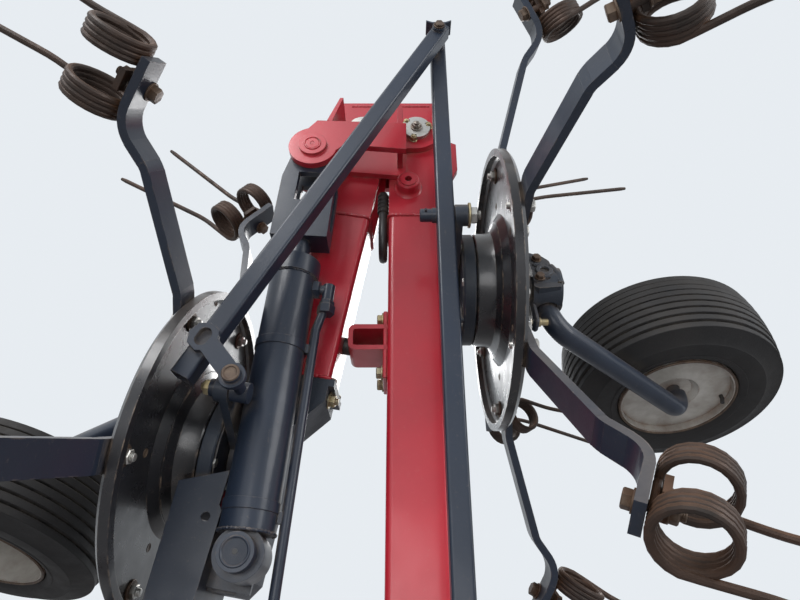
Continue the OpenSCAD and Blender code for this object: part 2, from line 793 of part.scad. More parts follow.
inner_boom_tube();
inner_boom_head();
base_lugs();
drive_stub();
stop_bracket();
stop_buffer();
head_buffer();
hose_loop();
inner_gearbox();
knuckle_cheeks();
knuckle_pins();
outer_boom_tube();
outer_carrier();
outer_boom_head();
outer_gearbox();
guard_plate();
cylinder_bracket();
cylinder_barrel();
cylinder_pipe();
cylinder_rod();
inner_disc();
inner_arms();
inner_tines();
inner_clamps();
outer_disc();
outer_arms();
outer_tines();
outer_clamps();
inner_column();
inner_wheel_arm();
outer_column();
outer_wheel_arm();
inner_tyre();
inner_rim();
outer_tyre();
outer_rim();
inner_link();
outer_link_joint();
outer_link();
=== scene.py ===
"""Looks of the folded hay tedder wing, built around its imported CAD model."""

import math
import random

import bpy
from mathutils import Matrix, Vector


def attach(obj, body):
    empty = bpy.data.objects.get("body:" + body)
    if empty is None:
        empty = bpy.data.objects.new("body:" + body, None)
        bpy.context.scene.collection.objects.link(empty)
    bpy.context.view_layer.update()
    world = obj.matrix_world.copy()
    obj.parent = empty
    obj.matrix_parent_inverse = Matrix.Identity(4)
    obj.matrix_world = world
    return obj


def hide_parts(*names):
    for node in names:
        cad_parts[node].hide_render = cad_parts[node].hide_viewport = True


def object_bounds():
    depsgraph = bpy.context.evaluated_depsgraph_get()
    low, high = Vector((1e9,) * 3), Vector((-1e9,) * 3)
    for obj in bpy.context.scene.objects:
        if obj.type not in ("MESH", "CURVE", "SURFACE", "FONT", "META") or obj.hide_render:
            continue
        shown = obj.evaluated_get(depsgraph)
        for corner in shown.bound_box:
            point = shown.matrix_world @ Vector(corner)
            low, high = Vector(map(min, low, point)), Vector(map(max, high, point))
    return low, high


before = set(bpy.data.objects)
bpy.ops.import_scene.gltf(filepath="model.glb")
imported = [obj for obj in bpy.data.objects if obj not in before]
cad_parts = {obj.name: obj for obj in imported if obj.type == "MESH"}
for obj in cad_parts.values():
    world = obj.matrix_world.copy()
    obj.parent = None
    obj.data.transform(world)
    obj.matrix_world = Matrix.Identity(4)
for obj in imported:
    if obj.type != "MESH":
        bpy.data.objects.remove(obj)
cad_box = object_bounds()
random.seed(7)

# Sizes of the CAD source, in millimetres and degrees
BOOM_W, BOOM_D, TUBE_TOP, FOOT_Z = 90, 100, 826, 72
PIN_X, PIN_Z, PIN_GAP, FOLD_LEAN = 6, 1020, 102, 9.7
ROTOR_Z, ROTOR_ALONG, DISC_N, DISC_T = 700, 630, 148, 5
DISC_TOP, DISC_LOW = DISC_N - DISC_T / 2, DISC_N + DISC_T / 2
ARM_COUNT, ARM_T, PHASE = 6, 12, {"inner": 6.5, "outer": 19}
BEND, BOLT_S, TIP_RISE = (464, 83), 50, 27.7
WIRE_D, COIL_OD, COIL_TURNS, COIL_GAP = 9.5, 82, 4, 34
LEG_LEN, LEG_LEAN, LEG_KNEE, KNEE_TURN = 330, 22, 80, 12
SWIVEL, LEVER_N0, LEVER_T, LEVER_LEN = 18, 61, 12, 156
WHEEL_N, WHEEL_TRAIL, WHEEL_OFF, TYRE_OD, TYRE_W, RIM_D = 525, 255, 40, 410, 165, 224
CHEEK_OUT, LOBE_Y, PLATE_T, LUG_DX, LUG_DZ = 63, 120, 12, -80, -106
CYL_Y, BARREL_D, BARREL_LEN, BASE_ALONG = 95, 72, 434, 771
OUTER_END, STOP_Z = 505, 592
LINK_Y, LINK_W, JOINT_X, JOINT_Z = 186, 28, 46, 1135
HOSE_D, LOOP_R, LOOP_LOW, LOOP_HIGH = 15, 30, 800, 890
SEAT = 0.3

# Sizes of the scene's own trim
ARM_BOLTS = (150, 205)  # radii of the bolts that hold an arm under its disc
HOLES = ((150, 0), (222, 22), (222, -22))  # radius and angle of the disc's small holes
CLAMP_SIDE, CLAMP_T = 14, 8.6  # clamp bolt beside the tine's middle, and the clamp's thickness
DRUM_DROP = 10  # the drum's edge under the disc's top face
BEADS = (118, 226)  # radii of the disc's pressed beads
HUB_END, HUB_BOLTS, HUB_BOLT_R = 30, 6, 45
COVER_BOLTS, COVER_BOLT_R, COVER_N = 8, 86, 78
MOUNT_N, MOUNT_HALF, MOUNT_Z = (46, 74.6), 47, (59, 85)
ROD_Y, ROD_Z = 11.5, -68  # stop rod of a column
HEAD_BOSS = (-10, 62)  # boss on the inner head: x, and height over the tube's top
SPIGOT = 26  # reach of the inner lever's pin past its link
EYE_RISE, PIN_RISE = 8, 8  # a lever's eye over the lever, and the outer pin over its eye
PIPE_OUT, GLAND = 22, 46  # the pipe's fittings off the barrel, and the gland's length
PIN_CAP = 42  # end of the cylinder's base pin, from the cylinder's middle
FLOOR_GAP = 0.002  # metres from the floor to the lowest point
GLOW = 1.1  # strength with which the camera sees the floor by itself


# ---------- placing ----------
def move(x, y, z):
    return Matrix.Translation((x, y, z))


def turn(degrees, axis):
    return Matrix.Rotation(math.radians(degrees), 4, axis)


OUTER = move(PIN_X - PIN_GAP, 0, PIN_Z) @ turn(FOLD_LEAN - 180, "Y") @ move(-PIN_X, 0, 0)
ROTOR = {"inner": move(0, 0, ROTOR_Z), "outer": OUTER @ move(0, 0, ROTOR_ALONG)}
COLUMN = {
    "inner": ROTOR["inner"] @ turn(-SWIVEL, "X"),
    "outer": ROTOR["outer"] @ turn(SWIVEL, "X"),
}
LUG = (PIN_X - PIN_GAP + LUG_DX, PIN_Z + LUG_DZ)
LOBE_FRONT = LOBE_Y + PLATE_T + 5
lug_dist = math.hypot(LUG_DX, LUG_DZ)
lug_ang = math.atan2(-LUG_DX, -LUG_DZ) - math.radians(FOLD_LEAN)
lug_along, lug_n = lug_dist * math.cos(lug_ang), PIN_X + lug_dist * math.sin(lug_ang)
CYLINDER = (
    OUTER
    @ move(0, -CYL_Y, BASE_ALONG)
    @ turn(math.degrees(math.atan2(lug_n, lug_along - BASE_ALONG)), "Y")
)


def arm_frame(name, k):
    """Frame of a rotor's arm: X outwards, Z down under the disc."""
    return (
        ROTOR[name]
        @ turn(-(PHASE[name] + k * 360 / ARM_COUNT), "X")
        @ move(DISC_LOW, 0, 0)
        @ turn(-90, "Z")
        @ turn(-90, "X")
    )


def tip_frame(name, k):
    """Frame of the clamp bolt: X along the arm's tip, Z away from the arm."""
    rise = math.radians(TIP_RISE)
    x = BEND[0] + BOLT_S * math.cos(rise) + ARM_T / 2 * math.sin(rise)
    z = BEND[1] - BOLT_S * math.sin(rise) + ARM_T / 2 * math.cos(rise)
    return arm_frame(name, k) @ move(x, 0, z) @ turn(TIP_RISE, "Y")


# ---------- meshes ----------
def skin(rows, n):
    """Faces of a closed body from rows of n points each."""
    sides = [
        (i * n + k, i * n + (k + 1) % n, (i + 1) * n + (k + 1) % n, (i + 1) * n + k)
        for i in range(rows - 1)
        for k in range(n)
    ]
    return sides + [list(range(n))[::-1], [(rows - 1) * n + k for k in range(n)]]


class Shape:
    """Vertices and faces in millimetres, gathered for one mesh."""

    def __init__(self):
        self.verts, self.faces = [], []

    def add(self, points, faces, at=None):
        base = len(self.verts)
        at = at or Matrix.Identity(4)
        self.verts += [at @ Vector(p) for p in points]
        self.faces += [[base + i for i in f] for f in faces]

    def lathe(self, profile, at=None, n=48, closed=False):
        """Turns an outline of (radius, z) about Z."""
        m = len(profile)
        points = [
            (r * math.cos(2 * math.pi * i / n), r * math.sin(2 * math.pi * i / n), z)
            for i in range(n)
            for r, z in profile
        ]
        faces = []
        for i in range(n):
            j = (i + 1) % n
            for k in range(m if closed else m - 1):
                k2 = (k + 1) % m
                faces.append((i * m + k, j * m + k, j * m + k2, i * m + k2))
        if not closed:
            for k, up in ((0, False), (m - 1, True)):
                if profile[k][0] > 1e-6:
                    ring = [i * m + k for i in range(n)]
                    faces.append(ring if up else ring[::-1])
        self.add(points, faces, at)

    def tube(self, path, radius, at=None, n=12):
        """A round bar along a path; radius is a number, or a list with one for each point."""
        path = [Vector(p) for p in path]
        count = len(path)
        radii = radius if isinstance(radius, list) else [radius] * count
        rings, side = [], None
        for i, p in enumerate(path):
            t = (path[min(i + 1, count - 1)] - path[max(i - 1, 0)]).normalized()
            if side is None:
                side = t.orthogonal().normalized()
            side = (side - t * side.dot(t)).normalized()
            up = t.cross(side)
            for k in range(n):
                a = 2 * math.pi * k / n
                rings.append(p + radii[i] * (side * math.cos(a) + up * math.sin(a)))
        self.add(rings, skin(count, n), at)

    def hex_bolt(self, at, across, height, washer=0, thread=0):
        """Hexagon head along +Z, over a washer, with a thread's end past it."""
        thick = 2.5
        if washer:
            edge, bore = washer / 2, across * 0.3
            self.lathe(
                [(bore, 0), (edge - 0.6, 0), (edge, 0.6), (edge, thick - 0.4),
                 (edge - 0.5, thick), (bore, thick)],
                at, 28,
            )
        base = thick if washer else 0
        r, top = across / math.sqrt(3), base + height
        rings = [(r * 0.97, base), (r, base + 0.5), (r, top - 1.4), (r * 0.86, top)]
        points = [
            (rr * math.cos(math.pi * k / 3), rr * math.sin(math.pi * k / 3), z)
            for rr, z in rings
            for k in range(6)
        ]
        self.add(points, skin(len(rings), 6), at)
        if thread:
            turns = max(2, int(thread / 1.6))
            core, crest = across * 0.28, across * 0.31
            profile = [(core, top - 0.5)]
            for i in range(turns):
                z = top + thread * i / turns
                profile += [(crest, z + 0.2 * thread / turns), (core, z + 0.8 * thread / turns)]
            profile.append((across * 0.24, top + thread))
            self.lathe(profile, at, 20)

    def block(self, x, y, z, bevel, at=None):
        """Box from ranges in x, y and z with bevelled edges."""
        (x0, x1), (y0, y1), (z0, z1) = x, y, z
        points, index = [], {}
        for sx in (0, 1):
            for sy in (0, 1):
                for sz in (0, 1):
                    c = ((x0, x1)[sx], (y0, y1)[sy], (z0, z1)[sz])
                    d = [bevel * (1 - 2 * s) for s in (sx, sy, sz)]
                    for axis in range(3):
                        p = [c[i] + (0 if i == axis else d[i]) for i in range(3)]
                        index[sx, sy, sz, axis] = len(points)
                        points.append(p)
        faces = []
        for axis in range(3):
            u, v = [i for i in range(3) if i != axis]
            for s in (0, 1):
                ring = []
                for a, b in ((0, 0), (1, 0), (1, 1), (0, 1)):
                    key = [0, 0, 0]
                    key[axis], key[u], key[v] = s, a, b
                    ring.append(index[(*key, axis)])
                faces.append(ring if (s == 1) == (axis != 1) else ring[::-1])
            for a in (0, 1):
                for b in (0, 1):
                    ends = []
                    for s in (0, 1):
                        key = [0, 0, 0]
                        key[axis], key[u], key[v] = s, a, b
                        ends.append((index[(*key, u)], index[(*key, v)]))
                    ring = [ends[0][0], ends[1][0], ends[1][1], ends[0][1]]
                    faces.append(ring if (a == b) != (axis != 1) else ring[::-1])
        for key in [(a, b, c) for a in (0, 1) for b in (0, 1) for c in (0, 1)]:
            ring = [index[(*key, i)] for i in range(3)]
            faces.append(ring if sum(key) % 2 else ring[::-1])
        self.add(points, faces, at)

    def prism(self, outline, z0, z1, at=None):
        """Plate between two heights from an outline of (x, y)."""
        points = [(x, y, z) for z in (z0, z1) for x, y in outline]
        self.add(points, skin(2, len(outline)), at)

    def weld(self, path, at=None, radius=2.6):
        """Rippled weld bead along a path."""
        step, ripple, wander = 2.5, 0.5, 0.2
        fine = []
        for a, b in zip(path, path[1:]):
            a, b = Vector(a), Vector(b)
            steps = max(1, round((b - a).length / step))
            fine += [a.lerp(b, i / steps) for i in range(steps)]
        fine.append(Vector(path[-1]))
        radii = [
            radius + ripple * math.sin(2.1 * i) + random.uniform(-wander, wander)
            for i in range(len(fine))
        ]
        self.tube(fine, radii, at, 8)

    def piece(self, name, body, material, sharp=32):
        """Makes the object in metres, which rides on a body."""
        mesh = bpy.data.meshes.new(name)
        mesh.from_pydata([v / 1000 for v in self.verts], [], self.faces)
        mesh.validate()
        mesh.update()
        mesh.materials.append(material)
        mesh.shade_smooth()
        mesh.set_sharp_from_angle(angle=math.radians(sharp))
        obj = bpy.data.objects.new(name, mesh)
        bpy.context.scene.collection.objects.link(obj)
        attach(obj, body)
        return obj


def polar(radius, degrees):
    return radius * math.cos(math.radians(degrees)), radius * math.sin(math.radians(degrees))


def rounded(points, radius):
    """A polyline with its inner corners rounded off by arcs of about that radius."""
    steps = 6
    points = [Vector(p) for p in points]
    out = [points[0]]
    for a, b, c in zip(points, points[1:], points[2:]):
        u, v = (a - b).normalized(), (c - b).normalized()
        half = u.angle(v) / 2
        cut = min(radius / math.tan(half), (a - b).length * 0.49, (c - b).length * 0.49)
        p, q = b + u * cut, b + v * cut
        for i in range(steps + 1):
            t = i / steps
            out.append(p * (1 - t) ** 2 + b * 2 * t * (1 - t) + q * t**2)
    out.append(points[-1])
    return out


# ---------- materials ----------
class Nodes:
    """A node tree that is built by short calls."""

    def __init__(self, name):
        self.material = bpy.data.materials.new(name)
        self.material.use_nodes = True
        self.tree = self.material.node_tree
        self.shader = self.tree.nodes["Principled BSDF"]
        self.coords = self.tree.nodes.new("ShaderNodeTexCoord").outputs["Object"]

    def node(self, kind, inputs=None, **settings):
        n = self.tree.nodes.new("ShaderNode" + kind)
        for key, value in settings.items():
            setattr(n, key, value)
        for key, value in (inputs or {}).items():
            if isinstance(value, bpy.types.NodeSocket):
                self.tree.links.new(value, n.inputs[key])
            else:
                n.inputs[key].default_value = value
        return n

    def noise(self, scale, detail=4, rough=0.55):
        return self.node(
            "TexNoise",
            {"Vector": self.coords, "Scale": scale, "Detail": detail, "Roughness": rough},
        ).outputs[0]

    def ramp(self, value, low, high):
        return self.node(
            "MapRange", {"Value": value, "From Min": low, "From Max": high}
        ).outputs[0]

    def math(self, operation, a, b):
        return self.node("Math", {0: a, 1: b}, operation=operation).outputs[0]

    def mix(self, factor, a, b):
        """Mixes two colours, whose sockets are 6, 7 and output 2 of a Mix node."""
        n = self.node("Mix", data_type="RGBA")
        for key, value in ((0, factor), (6, a), (7, b)):
            if isinstance(value, bpy.types.NodeSocket):
                self.tree.links.new(value, n.inputs[key])
            else:
                n.inputs[key].default_value = value if key == 0 else (*value, 1)
        return n.outputs[2]

    def set(self, **inputs):
        """Sets the shader's inputs by name, with _ for each space."""
        for key, value in inputs.items():
            socket = self.shader.inputs[key.replace("_", " ")]
            if isinstance(value, bpy.types.NodeSocket):
                self.tree.links.new(value, socket)
            else:
                socket.default_value = value


def finish_of(name, colour, second, rough, grain, dust, dust_share=0.3, metal=0.0, coat=0.0,
              gloss=0.5, edge=None, edge_share=0.4, bevel=1.2, patch=5):
    """Paint, metal or rubber: colour drift, dust on top and in corners, worn edges, grain."""
    m = Nodes(name)
    drift = m.ramp(m.noise(patch, 5, 0.6), 0.36, 0.66)
    base = m.mix(drift, colour, second)
    roughness = m.node(
        "MapRange",
        {"Value": m.noise(patch * 4, 5), "From Min": 0.3, "From Max": 0.7, "To Min": rough[0],
         "To Max": rough[1]},
    ).outputs[0]
    round_edge = m.node("Bevel", {"Radius": bevel / 1000}, samples=4).outputs[0]
    normal = m.node("NewGeometry").outputs["Normal"]
    if edge:
        wide = m.node("Bevel", {"Radius": 2.5 * bevel / 1000}, samples=4).outputs[0]
        same = m.node("VectorMath", {0: wide, 1: normal}, operation="DOT_PRODUCT")
        worn = m.ramp(m.noise(60, 4), 0.62 - 0.3 * edge_share, 0.66)
        rubbed = m.math("MULTIPLY", m.ramp(same.outputs["Value"], 0.985, 0.9), worn)
        base = m.mix(rubbed, base, edge)
    up = m.node("SeparateXYZ", {0: normal}).outputs["Z"]
    corner = m.node("AmbientOcclusion", {"Distance": 0.03}, samples=4).outputs["AO"]
    patches = m.ramp(m.noise(9, 6, 0.65), 0.3, 0.65)
    lying = m.math("MULTIPLY", m.ramp(up, 0.1, 0.9), patches)
    crumbs = m.ramp(m.noise(45, 5), 0.35, 0.6)
    packed = m.math("MULTIPLY", m.ramp(corner, 0.75, 0.35), crumbs)
    spots = m.math("MULTIPLY", m.ramp(m.noise(150, 6, 0.7), 0.6, 0.72), 0.3)
    cover = m.math("MAXIMUM", m.math("MAXIMUM", lying, packed), spots)
    cover = m.math("MULTIPLY", cover, dust_share)
    base = m.mix(cover, base, dust)
    roughness = m.math("ADD", roughness, m.math("MULTIPLY", cover, 0.4))
    scale, strength = grain
    waves = m.math("MULTIPLY", m.noise(scale / 12, 4), 0.6)
    height = m.math("ADD", m.noise(scale, 3), waves)
    bump = m.node(
        "Bump", {"Strength": strength, "Distance": 0.001, "Height": height, "Normal": round_edge}
    )
    m.set(Base_Color=base, Roughness=roughness, Metallic=metal, Normal=bump.outputs[0],
          Coat_Weight=coat, Coat_Roughness=0.12, Specular_IOR_Level=gloss)
    return m.material


DUST, SOIL, RUST = (0.34, 0.27, 0.2), (0.2, 0.16, 0.12), (0.2, 0.1, 0.05)
RED = finish_of("red_paint", (0.44, 0.011, 0.026), (0.34, 0.008, 0.02), (0.32, 0.46), coat=0.3,
                dust=DUST, dust_share=0.35, edge=(0.16, 0.02, 0.02), grain=(300, 0.06))
GREY = finish_of("anthracite_paint", (0.013, 0.021, 0.038), (0.009, 0.014, 0.026), (0.34, 0.5),
                 coat=0.15, gloss=0.35, dust=DUST, edge=(0.12, 0.1, 0.09), grain=(300, 0.1))
CAST = finish_of("cast_housing", (0.02, 0.028, 0.043), (0.013, 0.018, 0.028), (0.45, 0.62),
                 coat=0.05, gloss=0.4, dust=DUST, dust_share=0.42, edge=(0.14, 0.12, 0.1),
                 grain=(160, 0.35))
DISC = finish_of("pressed_disc", (0.019, 0.019, 0.022), (0.012, 0.012, 0.014), (0.22, 0.38),
                 metal=0.2, coat=0.25, dust=(0.36, 0.27, 0.2), dust_share=0.35,
                 edge=(0.2, 0.15, 0.11), grain=(240, 0.08), patch=7)
SPRING = finish_of("spring_steel", (0.05, 0.026, 0.016), (0.022, 0.016, 0.013), (0.45, 0.7),
                   metal=0.35, dust=(0.16, 0.075, 0.035), dust_share=0.6, grain=(420, 0.25),
                   bevel=0.4, patch=14)
ZINC = finish_of("zinc_plate", (0.5, 0.49, 0.46), (0.36, 0.36, 0.35), (0.32, 0.5), metal=0.85,
                 dust=(0.3, 0.25, 0.19), dust_share=0.4, grain=(500, 0.08), bevel=0.7, patch=30)
YELLOW_ZINC = finish_of("yellow_zinc", (0.42, 0.34, 0.18), (0.32, 0.28, 0.2), (0.32, 0.5),
                        metal=0.8, dust=(0.25, 0.2, 0.14), grain=(500, 0.08), bevel=0.5,
                        patch=40)
STEEL = finish_of("worn_steel", (0.33, 0.32, 0.3), (0.2, 0.16, 0.13), (0.3, 0.5), metal=0.85,
                  dust=RUST, dust_share=0.5, grain=(400, 0.15), bevel=0.6, patch=25)
RUSTY = finish_of("rusty_washer", (0.12, 0.085, 0.06), (0.06, 0.042, 0.034), (0.45, 0.65),
                  metal=0.5, dust=(0.17, 0.075, 0.03), dust_share=0.5, grain=(420, 0.2),
                  bevel=0.5, patch=40)
RIM = finish_of("dirty_rim", (0.46, 0.45, 0.42), (0.3, 0.28, 0.25), (0.4, 0.6), metal=0.1,
                dust=RUST, dust_share=0.75, edge=(0.16, 0.07, 0.035), edge_share=0.8,
                grain=(200, 0.15), patch=16)
TYRE = finish_of("tyre_rubber", (0.012, 0.012, 0.013), (0.019, 0.018, 0.018), (0.6, 0.78),
                 gloss=0.35, dust=(0.13, 0.11, 0.09), dust_share=0.4, grain=(260, 0.3),
                 bevel=1.0, patch=9)
RUBBER = finish_of("black_rubber", (0.012, 0.012, 0.013), (0.02, 0.02, 0.02), (0.4, 0.6),
                   dust=SOIL, dust_share=0.25, grain=(350, 0.2), bevel=0.8, patch=12)
HOSE = finish_of("hose_cover", (0.013, 0.013, 0.014), (0.02, 0.02, 0.022), (0.38, 0.5),
                 dust=SOIL, dust_share=0.25, grain=(600, 0.15), bevel=0.4, patch=20)

# The record's material slot of each finish, and the finish of each solid of the CAD
LOOKS = {
    RED: ["inner_boom_tube", "inner_boom_head", "base_lugs", "stop_bracket", "knuckle_cheeks",
          "outer_boom_tube", "outer_boom_head"],
    GREY: ["guard_plate", "cylinder_bracket", "cylinder_barrel", "cylinder_pipe", "cylinder_rod",
           "inner_arms", "outer_arms", "inner_wheel_arm", "outer_wheel_arm", "inner_link",
           "outer_link", "outer_link_joint"],
    CAST: ["inner_gearbox", "outer_gearbox", "inner_column", "outer_column", "outer_carrier"],
    DISC: ["inner_disc", "outer_disc"],
    SPRING: ["inner_tines", "outer_tines", "inner_clamps", "outer_clamps"],
    ZINC: ["knuckle_pins"],
    STEEL: ["drive_stub"],
    TYRE: ["inner_tyre", "outer_tyre"],
    RUBBER: ["stop_buffer", "head_buffer"],
    HOSE: ["hose_loop"],
    RIM: ["inner_rim", "outer_rim"],
}
for look, names in LOOKS.items():
    for node_name in names:
        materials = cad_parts[node_name].data.materials
        materials.clear()
        materials.append(look)


# ---------- tines ----------
def tine_path():
    """Centre line of a double tine in its clamp's frame, from tip to tip."""
    r = (COIL_OD - WIRE_D) / 2
    first, last = COIL_GAP / 2 + WIRE_D / 2, COIL_GAP / 2 + COIL_TURNS * WIRE_D - WIRE_D / 2
    per_turn, per_leg = 22, 24
    half = []
    count = int((COIL_TURNS + 0.25) * per_turn)
    for i in range(count + 1):
        a = i / per_turn * 2 * math.pi
        x = first + (last - first) * i / count
        half.append((x, r * math.sin(a), -r * math.cos(a)))
    x, y, z = last, half[-1][1], 0
    lean, knee, soft = math.radians(LEG_LEAN - TIP_RISE), math.radians(KNEE_TURN), 25
    step = LEG_LEN / per_leg
    for i in range(1, per_leg + 1):
        s = step * (i - 0.5)
        a = lean + knee * min(1, max(0, (s - LEG_KNEE + soft) / (2 * soft)))
        x, z = x + step * math.sin(a), z + step * math.cos(a)
        half.append((x, y, z))
    x0, _, z0 = half[0]
    middle = [(x, 0, z0) for x in (-x0 * 0.6, 0, x0 * 0.6)]
    return [(-x, y, z) for x, y, z in reversed(half)] + middle + half


def tines(name):
    """All double tines of a rotor, in place of those of the CAD."""
    shape = Shape()
    path = tine_path()
    radii = [WIRE_D / 2] * len(path)
    radii[0] = radii[-1] = WIRE_D / 2 * 0.75
    for k in range(ARM_COUNT):
        shape.tube(path, radii, tip_frame(name, k) @ move(0, 0, COIL_OD / 2 + SEAT), 10)
    piece = shape.piece(name + "_spring_tines", "rotor_" + name, SPRING)
    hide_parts(name + "_tines")


# ---------- wheels ----------
def tyre(name):
    """Tyre with its ribs, turned from one outline."""
    half, bead, top = TYRE_W / 2, RIM_D / 2, TYRE_OD / 2 - 0.4
    side = [(bead + 0.5, -half + 17), (bead + 4, -half + 7), (bead + 12, -half + 2),
            (bead + 17, -half + 1), (bead + 19, -half + 2.4), (bead + 34, -half),
            (bead + 50, -half + 0.8), (bead + 52, -half + 2.6), (bead + 64, -half + 6)]
    ribs, width, groove, crown = 9, 2 * half - 22, 8, 12
    w = width / ribs * 0.39
    tread = []
    for i in range(ribs):
        c = -width / 2 + width * (i + 0.5) / ribs
        r = top - crown * (c / half) ** 2
        tread += [(r - groove, c - w - 1.2), (r - 0.8, c - w), (r, c - w + 1), (r, c + w - 1),
                  (r - 0.8, c + w), (r - groove, c + w + 1.2)]
    shape = Shape()
    at = COLUMN[name] @ move(WHEEL_N, WHEEL_TRAIL, WHEEL_OFF)
    shape.lathe(side + tread + [(r, -z) for r, z in reversed(side)], at, 96, closed=True)
    piece = shape.piece(name + "_ribbed_tyre", "wheel_" + name, TYRE, 35)
    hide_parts(name + "_tyre")


# ---------- bolts ----------
def disc_bolts(name):
    """Bolts of the arms, over and under the disc, and the rings of its small holes."""
    heads, washers = Shape(), Shape()
    for k in range(ARM_COUNT):
        arm = arm_frame(name, k)
        over = arm @ move(ARM_BOLTS[1], 0, -DISC_T) @ turn(180, "X")
        ring = [(6, 0), (13.4, 0), (14, 0.6), (14, 2), (13.4, 2.6), (6, 2.6)]
        washers.lathe(ring, over, 28)
        heads.hex_bolt(over @ move(0, 0, 2.6), 17, 7, thread=5)
        for r in ARM_BOLTS:
            heads.hex_bolt(arm @ move(r, 0, ARM_T), 17, 8, 24)
        for r, side in HOLES:
            hole = arm @ turn(side, "Z") @ move(r, 0, -DISC_T) @ turn(180, "X")
            washers.lathe([(0, 0.2), (4.5, 0.2), (5, 0.5), (5.6, 0.5), (6, 0)], hole, 20)
    washers.piece(name + "_disc_washers", "rotor_" + name, RUSTY)
    heads.piece(name + "_disc_bolts", "rotor_" + name, ZINC)


def clamp_bolts(name):
    """Nut over each tine's clamp, and bolt head under the arm's tip."""
    shape = Shape()
    for k in range(ARM_COUNT):
        tip = tip_frame(name, k)
        shape.hex_bolt(tip @ move(0, CLAMP_SIDE, WIRE_D + CLAMP_T), 19, 9, 24, thread=6)
        shape.hex_bolt(tip @ move(0, CLAMP_SIDE, -ARM_T) @ turn(180, "X"), 19, 10, 26)
    shape.piece(name + "_clamp_nuts", "rotor_" + name, RUSTY)


for rotor in ("inner", "outer"):
    tines(rotor)
    tyre(rotor)
    disc_bolts(rotor)
    clamp_bolts(rotor)


# ---------- rotor centres ----------
def along_n(name):
    """Frame on a rotor's axis, with Z away from the boom."""
    return ROTOR[name] @ turn(90, "Y")


def drum(name):
    """Deep drawn centre of the disc, which turns around the housing, and its pressed beads."""
    face, at = DISC_TOP - DRUM_DROP, along_n(name)
    outside = [(97, 101), (98, face - 16), (101, face - 8), (108, face - 3), (117, face - 0.3)]
    inside = [(112, face + 0.5), (104, face - 1), (97, face - 7), (94.5, face - 15), (94, 101)]
    shape, bolts = Shape(), Shape()
    shape.lathe(outside + inside + [(95.5, 99)], at, 72, closed=True)
    for r in BEADS:
        bead = [(r - 2.5, DISC_TOP - 0.2), (r, DISC_TOP - 1.8), (r + 2.5, DISC_TOP - 0.2),
                (r, DISC_TOP + 1)]
        shape.lathe(bead, at, 96, closed=True)
    for k in range(HUB_BOLTS):
        spot = ROTOR[name] @ turn(360 / HUB_BOLTS * k + PHASE[name], "X")
        bolts.hex_bolt(spot @ move(DISC_LOW + HUB_END, 0, HUB_BOLT_R) @ turn(90, "Y"), 17, 8, 24)
    shape.piece(name + "_disc_drum", "rotor_" + name, DISC)
    bolts.piece(name + "_hub_bolts", "rotor_" + name, ZINC)


def housing_cover(name):
    """Flange of the gear housing, and the blocks that hold the housing to its boom."""
    body = name + "_boom"
    shape, bolts, mounts = Shape(), Shape(), Shape()
    shape.lathe(
        [(75.6, 80), (90, 77), (94, 77), (96.4, 79.5), (96.4, 96.3), (95, 97.8), (88, 97.8),
         (84, 95), (75.6, 95)],
        along_n(name), 72, closed=True,
    )
    for k in range(COVER_BOLTS):
        spot = ROTOR[name] @ turn(360 / COVER_BOLTS * (k + 0.5), "X")
        bolts.hex_bolt(spot @ move(COVER_N, 0, COVER_BOLT_R) @ turn(-90, "Y"), 13, 3.6)
    for side in (1, -1):
        z = sorted(side * edge for edge in MOUNT_Z)
        mounts.block(MOUNT_N, (-MOUNT_HALF, MOUNT_HALF), z, 3, ROTOR[name])
        for y in (-30, 30):
            spot = ROTOR[name] @ move(60, y, MOUNT_Z[1] * side)
            bolts.hex_bolt(spot @ turn(0 if side > 0 else 180, "X"), 17, 7, 24)
    shape.piece(name + "_housing_cover", body, CAST)
    bolts.piece(name + "_cover_bolts", body, ZINC)
    mounts.piece(name + "_rotor_mount", body, RED)


def column_casting(name):
    """Clamp casting at the lower end of a column, with its bolts and stop rod."""
    body, at = "column_" + name, COLUMN[name]
    side = at @ turn(90, "X")
    shape, bolts, rod = Shape(), Shape(), Shape()
    shape.prism([(200, 62), (206, 62), (226, 52), (236, 40), (241, 8), (249.5, -20), (245, -29),
                 (208, -33), (200, -28)], -46, 34, side)
    shape.prism([(200, 50), (207, 52), (222, 42), (229, 33), (231, 8), (226, -14), (206, -20),
                 (200, -18)], 33, 38, side)
    shape.block((196, 206), (-4, 26), (-80, -14), 4, at)
    for z in (-10, 22):
        shape.block((204, 230), (-42, -36), (z - 3, z + 3), 2, at)
    for n, z in ((211, -11), (213, 39)):
        bolts.hex_bolt(side @ move(n, z, 38), 13, 6, 18)
    eye = at @ move(221, -37, 6) @ turn(90, "X")
    shape.lathe([(7, 0), (14, 0), (15, 1), (15, 4), (13.5, 5.5), (8.5, 5.5), (7, 4)],
                eye, 32, closed=True)
    shape.tube(rounded([(236, -32, 24), (244, -34, 2), (246, -30, -18)], 12), 7, at)
    rod.tube([(195, ROD_Y, ROD_Z), (222, ROD_Y, ROD_Z)], 5.6, at, 20)
    rod.lathe([(8, 0), (8, 3.5), (7, 4.5), (5.6, 4.5), (5.6, 0)],
              at @ move(206, ROD_Y, ROD_Z) @ turn(90, "Y"), 24, closed=True)
    shape.piece(name + "_column_casting", body, CAST)
    bolts.piece(name + "_casting_bolts", body, RUSTY)
    rod.piece(name + "_stop_rod", body, YELLOW_ZINC)


